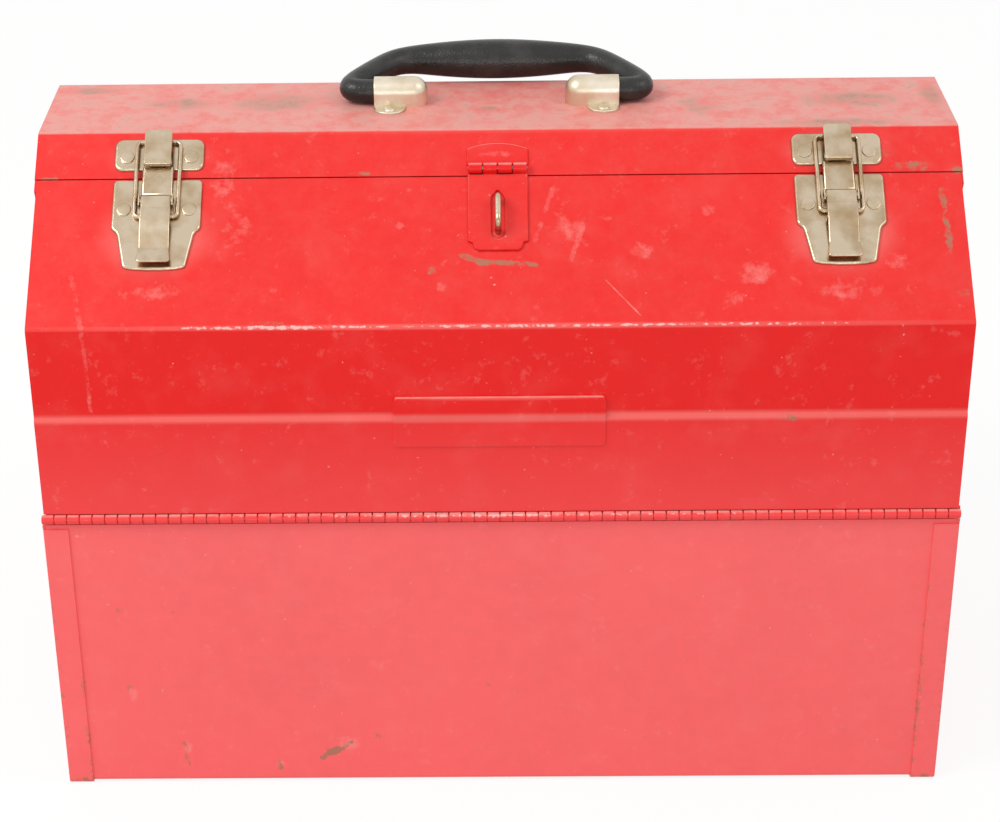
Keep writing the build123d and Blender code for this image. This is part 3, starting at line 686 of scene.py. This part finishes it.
class TOOLBOX_OT_sheet_metal(bpy.types.Operator):
    """Fold the base and the covers from sheet, and finish them in enamel"""

    bl_idname = "toolbox.sheet_metal"
    bl_label = "Base and covers"

    def execute(self, context):
        sizes = context.scene.toolbox_sizes
        sheet, fold, crease = (size / MM for size in (sizes.sheet, sizes.fold, sizes.crease))
        below = tuple((SLOPE @ Vector((0, SEAM - SEAM_HALF_GAP, 0))).yz)
        above = tuple((SLOPE @ Vector((0, SEAM + SEAM_HALF_GAP, 0))).yz)
        sides = [(WALL, COVER_EDGE), (WALL, JOGGLE_LOW), (FACE, JOGGLE_HIGH), (FACE, HIP)]
        front = [*[(-y, z) for y, z in sides], below]
        rear = [*sides, (TOP_HALF, TOP), (-TOP_HALF, TOP), above]
        trough = [(-WALL, BASE_TOP), (-WALL, sheet), (WALL, sheet), (WALL, BASE_TOP)]

        bm = folded(trough, (BASE_FOLD, BASE_FOLD), HALF - sheet)
        thicken(bm, BASE_MIDDLE, sheet)
        finish_piece("base_folded_shell", bm, "base", BASE_ENAMEL, "base_shell")

        bm = folded(front, (crease, crease, fold), FRONT_HALF)
        thicken(bm, COVER_MIDDLE, sheet)
        join(bm, self.pad(sheet))
        finish_piece("front_cover_folded", bm, "front_cover", COVER_ENAMEL, "front_cover_panel")

        bm = folded(rear, (crease, crease, fold, fold, fold), HALF)
        thicken(bm, COVER_MIDDLE, sheet)
        finish_piece("rear_cover_folded", bm, "rear_cover", COVER_ENAMEL, "rear_cover_panel")
        for end, side in ENDS.items():
            bm = self.flanged_end(side, sheet)
            finish_piece(f"base_flanged_end_{end}", bm, "base", BASE_ENAMEL, f"base_end_{end}")
        dress([f"{cover}_cover_end_{end}" for cover in COVERS for end in ENDS], COVER_ENAMEL)
        return {"FINISHED"}

    def pad(self, sheet):
        """The raised pad in the middle of the front cover, across its joggle."""
        pad = bmesh.new()
        rise = 0.8
        corners = [(-52, 201.5), (52, 201.5), (52, 228.5), (-52, 228.5)]
        slab(pad, corners, 0, WALL - FACE + rise + sheet / 2, 0.75, (2.4,) * 4)
        upright = Matrix.Rotation(math.pi / 2, 4, "X")
        upright.translation = (0, sheet / 2 - FACE, 0)
        bmesh.ops.transform(pad, matrix=upright, verts=pad.verts)
        return pad

    def flanged_end(self, side, sheet):
        """An end plate of the base, with its flanges turned in over the folded shell."""
        bm = bmesh.new()
        outer = 124.0
        flange_top = 156.0
        flange_width = 12.7
        corners = both_sides([(outer, BASE_TOP), (outer, flange_top), (outer, 0)])
        verts = [bm.verts.new((side * HALF, y, z)) for y, z in corners]
        bm.faces.new(verts)
        rounded(bm, verts[2:4], BASE_FOLD, 6, "VERTICES")
        turned_in = [e for e in bm.edges if all(v.co.z < flange_top + NEAR for v in e.verts)]
        grown = bmesh.ops.extrude_edge_only(bm, edges=turned_in)["geom"]
        bmesh.ops.translate(bm, verts=new_verts(grown), vec=(-side * flange_width, 0, 0))
        thicken(bm, BASE_MIDDLE, sheet)
        rim = sharp_edges(
            bm, lambda spot: abs(abs(spot.x) - HALF) < NEAR and spot.z < flange_top + NEAR
        )
        rounded(bm, rim, 0.8)
        return bm


class TOOLBOX_OT_piano_hinges(bpy.types.Operator):
    """Roll the knuckles of both piano hinges on their leaves"""

    bl_idname = "toolbox.piano_hinges"
    bl_label = "Piano hinges"

    def execute(self, context):
        knuckle = context.scene.toolbox_sizes.knuckle / MM
        count = 72
        pitch = 6.35
        gap = 0.3
        half = (pitch - gap) / 2
        leaf_half = 225.7
        leaf_low, leaf_high = 1.85, 20
        web_low, web_high = 0.3, 3.2
        ring = knuckle_profile(knuckle, half)
        for cover, facing in COVERS.items():
            inner, outer = facing * 121.3, facing * 122.2
            for first, (leaf, body, rises) in enumerate(
                (("base", "base", -1), ("cover", f"{cover}_cover", 1))
            ):
                low, high, web, top = (
                    HINGE_HEIGHT + rises * rise for rise in (leaf_low, leaf_high, web_low, web_high)
                )
                bm = bmesh.new()
                block(bm, (-leaf_half, inner, low), (leaf_half, outer, high), 0.2)
                for number in range(first, count, 2):
                    middle = pitch * (number + 0.5) - HALF
                    block(bm, (middle - half, inner, web), (middle + half, outer, top))
                    spot = (middle, facing * HINGE_OUT, HINGE_HEIGHT)
                    turned(bm, ring, spot, (1, 0, 0), (0, 0, 1), 12)
                finish_piece(
                    f"{cover}_{leaf}_rolled_leaf", bm, body, COVER_ENAMEL,
                    f"{cover}_hinge_{leaf}_leaf",
                )
            dress([f"{cover}_hinge_pin"], ZINC)
        return {"FINISHED"}


class TOOLBOX_OT_draw_latches(bpy.types.Operator):
    """Press the latch plates, fold the levers and bend the wire bails"""

    bl_idname = "toolbox.draw_latches"
    bl_label = "Draw latches"

    # How much the pressed plates stand above their thickness.
    swell = 0.8

    def execute(self, context):
        sizes = context.scene.toolbox_sizes
        plate = sizes.plate / MM
        head = [(0, 0), (3.6, 0), (3.6, 1.1), (3.35, 1.4), (2.8, 1.52), (0, 1.55)]
        # The rivet heads on each plate: its body, and how far across and up the slope they are.
        plates = {"strike": ("rear_cover", 15.8, 94.4), "shield": ("front_cover", 16, 64.8)}
        heads = {name: bmesh.new() for name in plates}
        for end, side in ENDS.items():
            across = side * LATCH_ACROSS
            place = SLOPE @ Matrix.Translation((across, 0, 0))
            for name, body, bm in (
                ("strike", "rear_cover", self.strike(plate)),
                ("shield", "front_cover", self.shield(plate)),
                ("lever", f"latch_lever_{end}", self.lever(plate)),
                ("bail", f"latch_bail_{end}", self.bail(sizes.bail / MM)),
            ):
                finish_piece(
                    f"latch_formed_{name}_{end}", bm, body, NICKEL, f"latch_{name}_{end}", place
                )
            for name, (_, apart, along) in plates.items():
                for hand in SIDES:
                    spot = (across + hand * apart, along, plate)
                    turned(heads[name], head, spot, (0, 0, 1), (1, 0, 0), 20)
            dress([f"latch_pin_{end}"], NICKEL)
        for name, (body, _, _) in plates.items():
            finish_piece(
                f"latch_{name}_rivet_heads", heads[name], body, NICKEL, f"latch_{name}_rivets",
                SLOPE,
            )
        return {"FINISHED"}

    def strike(self, plate):
        """The strike: a plate whose middle strip curls out and up into a hook."""
        bm = bmesh.new()
        corners = [(-22.2, 87), (22.2, 87), (22.2, 105), (-22.2, 105)]
        slab(bm, corners, 0, plate + self.swell, 1.4, (4,) * 4)
        block(bm, (-4.5, 91, plate), (4.5, 100.6, 6.9), 0.4)
        tip = 106.6
        hook = folded([(91.5, 4.4), (86.9, 4.4), (86.9, 7.9), (tip, 7.9)], (1.5, 1.5), 6.8)
        thicken(hook, FAR_BELOW, plate + 0.4)
        corners = [
            e for e in hook.edges
            if all(v.co.y > tip - NEAR for v in e.verts)
            and abs(e.verts[0].co.z - e.verts[1].co.z) > plate / 2
        ]
        rounded(hook, corners, 2.2, 5)
        rounded(hook, sharp_edges(hook, lambda spot: spot.z > 6.5 or spot.y < 89), 0.6)
        join(bm, hook)
        return bm

    def shield(self, plate):
        """The shield: a waisted plate with a raised tongue and two ears for the lever's pin."""
        bm = bmesh.new()
        right = [(22, 81.8), (22, 54.4), (19, 51.8), (15.4, 33), (10.5, 31.95), (4, 31.5)]
        rounds = (2.2, 1.4, 1.4, 1.4, 0, 0)
        corners = (*rounds, *reversed(rounds))
        slab(bm, both_sides(right), 0, plate + self.swell, 1.3, corners)
        tongue = [(-7.8, 71.5), (7.8, 71.5), (7.8, 88.4), (-7.8, 88.4)]
        slab(bm, tongue, 1.9, 3.6, 1.4, (0, 0, 1, 1))
        block(bm, (-7.2, 71.8, 0.6), (7.2, 81.6, 2.2), 0.3)
        for hand in SIDES:
            block(bm, (hand * 7.8, 64.5, 0.4), (hand * 8.6, 71, 6.8), 0.35)
        return bm

    def lever(self, plate):
        """The lever: a channel that dips behind its flat face and ends in a flared finger lip."""
        lip = 33.8
        flare_start = 40
        flare = 1.14
        bm = folded([(63.2, 6.9), (54, 6.9), (42, 4.2), (lip, 6.4)], (36, 3.2), 7.5)
        for vert in bm.verts:
            if vert.co.y < flare_start:
                vert.co.x *= flare
        rounded(bm, [v for v in bm.verts if v.co.y < lip + NEAR], 2.0, 5, "VERTICES")
        thicken(bm, FAR_BELOW, plate + 0.5)
        rounded(bm, sharp_edges(bm), 0.65, 4)
        block(bm, (-7, 62.4, 5.3), (7, 70, 6.6), 0.5)
        for hand in SIDES:
            block(bm, (hand * 6.5, 56.5, 1.8), (hand * 7.4, 69.8, 6.2), 0.3)
        return bm

    def bail(self, gauge):
        """The bail: a loop of wire from one side of the lever, over the hook, to the other."""
        height = 3.4
        right = [(6.3, 59.8), (10.6, 59.8), (10.6, 102)]
        return wire([(x, y, height) for x, y in both_sides(right)], 2.4, gauge)


class TOOLBOX_OT_hasp(bpy.types.Operator):
    """Shape the hasp's leaf, slotted strap and staple"""

    bl_idname = "toolbox.hasp"
    bl_label = "Hasp"

    half_width = 14.7
    thickness = 1.2
    strap_under = 0.35

    def knuckles(self, bm, numbers, under, reach):
        """Rolled knuckles at these places in the row of four, each on its web."""
        axis, axis_out = 85.9, 2.75
        radius = 2.6
        gap = 0.5
        step = self.half_width / 2
        half = (step - gap) / 2
        for number in numbers:
            middle = step * (number + 0.5) - self.half_width
            web = (middle + half, axis + reach, under + self.thickness)
            block(bm, (middle - half, axis, under), web, 0.15)
            ring = knuckle_profile(radius, half)
            turned(bm, ring, (middle, axis, axis_out), (1, 0, 0), (0, 1, 0), 24)

    def execute(self, context):
        bm = bmesh.new()
        right = [(15.2, 88.8), (15.2, 98.1), (8, 100.5)]
        arch = [*right, (0, 101.4), *[(-x, y) for x, y in reversed(right)]]
        slab(bm, arch, 0, self.thickness, 0.5, (0, 1.2, 3, 4, 3, 1.2, 0))
        self.knuckles(bm, (0, 2), 0, 3.2)
        finish_piece("hasp_arched_leaf", bm, "rear_cover", COVER_ENAMEL, "hasp_leaf", SLOPE)

        bm = self.strap()
        self.knuckles(bm, (1, 3), self.strap_under, -3.2)
        finish_piece("hasp_slotted_strap", bm, "hasp_strap", COVER_ENAMEL, "hasp_strap", SLOPE)

        low, high, out = 51.4, 68.4, 9.5
        loop = [(0, low, 0), (0, low, out), (0, high, out), (0, high, 0)]
        bm = wire(loop, 4, context.scene.toolbox_sizes.staple / MM)
        finish_piece("hasp_bent_staple", bm, "front_cover", NICKEL, "hasp_staple", SLOPE)
        dress(["hasp_pin"], ZINC)
        return {"FINISHED"}

    def strap(self):
        """The strap: a plate with a slot that narrows at its upper end."""
        bm = bmesh.new()
        width = self.half_width
        right = [(width, 83), (width, 46), (12.4, 45.4), (12.0, 43.8), (11.2, 42), (9.6, 41)]
        slot_half, slot_low = 3.3, 50.2
        turns = [math.pi * (1 + step / 8) for step in range(9)]
        slot = [(slot_half * math.cos(a), slot_low + slot_half * math.sin(a)) for a in turns]
        shoulder = [(slot_half, 69.6), (2.8, 71.2), (0.5, 74.1)]
        edges = []
        for ring in (both_sides(right), [*slot, *both_sides(shoulder)]):
            verts = [bm.verts.new((x, y, self.strap_under)) for x, y in ring]
            edges += [bm.edges.new(pair) for pair in zip(verts, verts[1:] + verts[:1])]
        bmesh.ops.triangle_fill(bm, edges=edges, use_beauty=True)
        grown = bmesh.ops.extrude_face_region(bm, geom=list(bm.faces))["geom"]
        bmesh.ops.translate(bm, verts=new_verts(grown), vec=(0, 0, self.thickness))
        rim = sharp_edges(bm, lambda spot: spot.z > self.strap_under + self.thickness - NEAR)
        rounded(bm, rim, 0.4)
        return bm


class TOOLBOX_OT_handle(bpy.types.Operator):
    """Mould the grip and press its clips"""

    bl_idname = "toolbox.handle"
    bl_label = "Carrying handle"

    forward = 3.0
    axis_up = 6.8
    reach = 36.0
    clip_wall = 1.2

    def execute(self, context):
        sizes = context.scene.toolbox_sizes
        grip = sizes.grip / MM
        gap_under = 0.4
        tilt = math.asin((grip + gap_under - self.axis_up) / self.reach)
        axis = Matrix.Translation((0, self.forward, TOP + self.axis_up))
        finish_piece(
            "handle_moulded_grip", self.grip(sizes.stub / MM, grip), "handle", BLACK, "handle_grip",
            axis @ Matrix.Rotation(tilt, 4, "X"), crease=60,
        )
        heads = bmesh.new()
        radius, height, sunk = 3.0, 1.2, 0.2
        head = [(0, -sunk), (radius, -sunk), *dome_profile(radius, 0, height)]
        across, apart = 54.3, 12.05
        for end, side in ENDS.items():
            finish_piece(
                f"handle_pressed_clip_{end}", self.clip(side), "rear_cover", PAINTED_BRIGHT_NICKEL,
                f"handle_clip_{end}",
            )
            for facing in SIDES:
                spot = (side * across, self.forward + facing * apart, TOP + self.clip_wall)
                turned(heads, head, spot, (0, 0, 1), (1, 0, 0), 18)
        finish_piece(
            "handle_clip_rivet_heads", heads, "rear_cover", PAINTED_BRIGHT_NICKEL, "handle_clip_rivets"
        )
        return {"FINISHED"}

    def grip(self, stub, grip):
        """The grip: one moulding from stub to stub, swelling to a belly at its middle."""
        reach = self.reach
        half = [
            (43.2, 0, stub), (60, 0, stub), (72.4, -0.6, stub), (75.4, 4, 6.1), (70, 12.5, 6.3),
            (60, 25.5, 6.5), (52.5, 33.4, 6.8), (43, 36.2, 7.3), (29, reach, 8.9),
            (14, reach, grip - 0.3),
        ]
        route = [*half, (0, reach, grip + 0.1), *[(-x, y, r) for x, y, r in reversed(half)]]
        curve, spline = round_curve("NURBS", 1.0, sides=8, steps=10)
        spline.points.add(len(route) - 1)
        for point, (x, y, radius) in zip(spline.points, route):
            point.co = (x, y, 0, 1)
            point.radius = radius
        spline.order_u = 4
        spline.use_endpoint_u = True
        return drawn(curve)

    def clip(self, side):
        """A clip: a half round barrel on skirts, domed at its inner end, with two riveted feet."""
        radius = 7.3
        dome_start = 42.3
        outer = 62.3
        foot_length = 16
        foot_near, foot_far = 6.4, 16.8
        centre = Vector((0, self.forward, TOP + self.axis_up))
        bm = bmesh.new()
        turns = [math.pi * step / 16 for step in range(9)]
        arc = [(dome_start - radius * math.sin(a), radius * math.cos(a)) for a in turns]
        profile = [(outer, radius), *arc]
        verts = [bm.verts.new(centre + Vector((side * x, r, 0))) for x, r in profile]
        edges = [bm.edges.new(pair) for pair in zip(verts, verts[1:])]
        bmesh.ops.spin(
            bm, geom=verts + edges, cent=centre, axis=(1, 0, 0), angle=math.pi, steps=20,
            use_merge=False,
        )
        bmesh.ops.remove_doubles(bm, verts=bm.verts, dist=NEAR)
        skirt = [
            e for e in bm.edges
            if e.is_boundary and all(abs(v.co.z - centre.z) < NEAR for v in e.verts)
        ]
        grown = bmesh.ops.extrude_edge_only(bm, edges=skirt)["geom"]
        bmesh.ops.translate(bm, verts=new_verts(grown), vec=(0, 0, -self.axis_up))
        thicken(bm, centre, self.clip_wall)
        rounded(bm, sharp_edges(bm, lambda spot: abs(abs(spot.x) - outer) < NEAR), 0.4, 2)
        inner = outer - foot_length
        outline = [(inner, foot_near), (outer, foot_near), (outer, foot_far), (inner, foot_far)]
        for facing in SIDES:
            foot = bmesh.new()
            corners = [(side * x, facing * y) for x, y in outline]
            slab(foot, corners, 0, self.clip_wall, 0.5, (0, 0, 7.2, 7.2))
            bmesh.ops.translate(foot, verts=foot.verts, vec=(0, self.forward, TOP))
            join(bm, foot)
        return bm


class TOOLBOX_OT_trays(bpy.types.Operator):
    """Finish the trays and their link arms, and set the rivets"""

    bl_idname = "toolbox.trays"
    bl_label = "Trays and linkage"

    # The offset from each pivot on a cover to the one on a link arm, and how far in and up from
    # the hinge each tray's pivot on its cover is.
    link_in, link_up = 34, -10
    pivots = {"lower": 30, "upper": 76}

    def execute(self, context):
        sizes = context.scene.toolbox_sizes
        sheet = sizes.sheet / MM
        head = sizes.rivet / MM
        # From the middle of the box: where each kind of rivet starts, and its sleeve or outer head.
        base_tail, base_sleeve = 218.6, 221.9
        tray_tail, tray_sleeve = 217.1, 219.8
        link_tail, link_face = 217.4, 221.9
        base = bmesh.new()
        for cover, facing in COVERS.items():
            dress([f"{cover}_link_{end}" for end in ENDS], ZINC)
            dress([f"{cover}_{level}_tray" for level in self.pivots], TRAY_ENAMEL)
            spot = (facing, self.link_in, self.link_up)
            self.rivet(base, spot, head, base_tail, HALF, (base_sleeve, HALF - sheet))
            half = FRONT_HALF if cover == "front" else HALF
            trays = bmesh.new()
            for level, along in self.pivots.items():
                spot = (facing, along, along)
                self.rivet(trays, spot, head, tray_tail, half, (tray_sleeve, half - sheet))
                link = bmesh.new()
                spot = (facing, along + self.link_in, along + self.link_up)
                self.rivet(link, spot, head, link_tail, link_face)
                finish_piece(
                    f"{cover}_{level}_link_domed_rivets", link, f"{cover}_{level}_tray", ZINC,
                    f"{cover}_{level}_link_rivets",
                )
            finish_piece(
                f"{cover}_tray_domed_rivets", trays, f"{cover}_cover", ZINC, f"{cover}_tray_rivets"
            )
        finish_piece("base_link_domed_rivets", base, "base", ZINC, "base_link_rivets")
        return {"FINISHED"}

    def rivet(self, bm, spot, head, tail, face, sleeve=()):
        """A left and a right rivet: inner head, shank, sleeve if it has one, domed outer head."""
        shank = 2.4
        ease = 0.3
        thickness = 1.2
        tail_end = tail + thickness
        profile = [
            (0, tail), (head - ease, tail), (head, tail + ease), (head, tail_end),
            (shank, tail_end),
        ]
        if sleeve:
            start, end = sleeve
            profile += [(shank, start), (head, start), (head, end), (shank, end)]
        profile += [(shank, face), *dome_profile(head, face, thickness)]
        facing, inward, upward = spot
        centre = (0, facing * (HINGE_OUT - inward), HINGE_HEIGHT + upward)
        for side in SIDES:
            turned(bm, profile, centre, (side, 0, 0), (0, 0, 1), 20)


class TOOLBOX_OT_stage(bpy.types.Operator):
    """Set the floor, the soft studio light and the camera"""

    bl_idname = "toolbox.stage"
    bl_label = "Studio"

    def execute(self, context):
        scene = context.scene
        scene.view_settings.view_transform = "Standard"
        self.floor(scene)
        self.light(scene)
        self.camera(scene)
        return {"FINISHED"}

    def watched(self, tree):
        """Whether a ray shows the studio to the camera, a mirror or glass, and doesn't light."""
        path = add_node(tree, "LightPath")
        seen = path.outputs["Is Camera Ray"]
        for kind in ("Is Glossy Ray", "Is Transmission Ray"):
            seen = add_node(tree, "Math", {0: seen, 1: path.outputs[kind]}, operation="MAXIMUM")
        return seen

    def floor(self, scene):
        """A wide matt floor that is seen almost white, with the box's shadow on it."""
        bm = bmesh.new()
        bmesh.ops.create_grid(bm, x_segments=1, y_segments=1, size=12)
        mesh = bpy.data.meshes.new("floor")
        bm.to_mesh(mesh)
        bm.free()
        floor = bpy.data.objects.new("floor", mesh)
        scene.collection.objects.link(floor)
        tree, _, _ = new_material("matt_white_floor")
        matt = tree.nodes["Principled BSDF"]
        feed(tree, matt, {"Base Color": scene.toolbox_colours.floor, "Roughness": 0.9})
        seen, white_share = self.watched(tree), 0.8
        share = add_node(tree, "Math", {0: seen, 1: white_share}, operation="MULTIPLY")
        white = add_node(tree, "Emission", {"Color": (1, 1, 1, 1), "Strength": 1.08})
        both = add_node(tree, "MixShader", {0: share, 1: matt, 2: white})
        feed(tree, tree.nodes["Material Output"], {"Surface": both})
        mesh.materials.append(bpy.data.materials["matt_white_floor"])

    def light(self, scene):
        """An even white room, with soft lamps high on both sides and a low strip in front."""
        world = bpy.data.worlds.new("studio")
        scene.world = world
        world.use_nodes = True
        tree = world.node_tree
        room, backdrop = 0.685, 1.0
        shown = add_node(tree, "Mix", {0: self.watched(tree), 2: room, 3: backdrop})
        feed(tree, tree.nodes["Background"], {"Color": shown, "Strength": 1.0})
        aim = Vector((0, 0, 0.2))
        for name, spot, width, depth, power in (
            ("key", (-1.2, -0.75, 1.75), 0.9, 0.9, 18),
            ("fill", (1.3, -0.7, 1.7), 0.9, 0.9, 5.4),
            ("front_strip", (0, -2.3, 0.5), 1.6, 0.12, 5),
        ):
            lamp = bpy.data.lights.new(name, "AREA")
            lamp.shape = "RECTANGLE"
            lamp.size = width
            lamp.size_y = depth
            lamp.energy = power
            holder = bpy.data.objects.new(name, lamp)
            holder.location = spot
            holder.rotation_euler = (aim - Vector(spot)).to_track_quat("-Z", "Y").to_euler()
            holder.visible_camera = False
            scene.collection.objects.link(holder)

    def camera(self, scene):
        """The camera at the place and angle from which the box was seen."""
        lens = bpy.data.cameras.new("camera")
        lens.sensor_width = 36
        lens.lens = 86.33
        lens.shift_x = 0.05
        camera = bpy.data.objects.new("camera", lens)
        scene.collection.objects.link(camera)
        stand = Matrix.Translation((-0.0075, -1.15492, 0.76489))
        yaw, pitch, roll = (math.radians(angle) for angle in (-0.921, 27.779, -0.869))
        level = math.cos(pitch)
        ahead = Vector((math.sin(yaw) * level, math.cos(yaw) * level, -math.sin(pitch)))
        right = Vector((math.cos(yaw), -math.sin(yaw), 0))
        across = right * math.cos(roll) + right.cross(ahead) * math.sin(roll)
        turn = Matrix((across, across.cross(ahead), -ahead)).transposed().to_4x4()
        camera.matrix_world = stand @ turn
        scene.camera = camera


class TOOLBOX_PT_sidebar(bpy.types.Panel):
    """The toolbox's sizes, colours and steps"""

    bl_idname = "TOOLBOX_PT_sidebar"
    bl_label = "Cantilever toolbox"
    bl_space_type = "VIEW_3D"
    bl_region_type = "UI"
    bl_category = "Toolbox"

    def draw(self, context):
        for group in (context.scene.toolbox_sizes, context.scene.toolbox_colours):
            column = self.layout.column(align=True)
            for name in group.__annotations__:
                column.prop(group, name)
        for operator in STEPS:
            self.layout.operator(operator.bl_idname)


STEPS = (
    TOOLBOX_OT_sheet_metal,
    TOOLBOX_OT_trays,
    TOOLBOX_OT_piano_hinges,
    TOOLBOX_OT_draw_latches,
    TOOLBOX_OT_hasp,
    TOOLBOX_OT_handle,
    TOOLBOX_OT_stage,
)
CLASSES = (ToolboxSizes, ToolboxColours, *STEPS, TOOLBOX_PT_sidebar)


def register():
    for item in CLASSES:
        bpy.utils.register_class(item)
    bpy.types.Scene.toolbox_sizes = PointerProperty(type=ToolboxSizes)
    bpy.types.Scene.toolbox_colours = PointerProperty(type=ToolboxColours)


def unregister():
    del bpy.types.Scene.toolbox_colours
    del bpy.types.Scene.toolbox_sizes
    for item in reversed(CLASSES):
        bpy.utils.unregister_class(item)


def main():
    register()
    for operator in STEPS:
        group, name = operator.bl_idname.split(".")
        getattr(getattr(bpy.ops, group), name)()


if __name__ == "__main__":
    main()
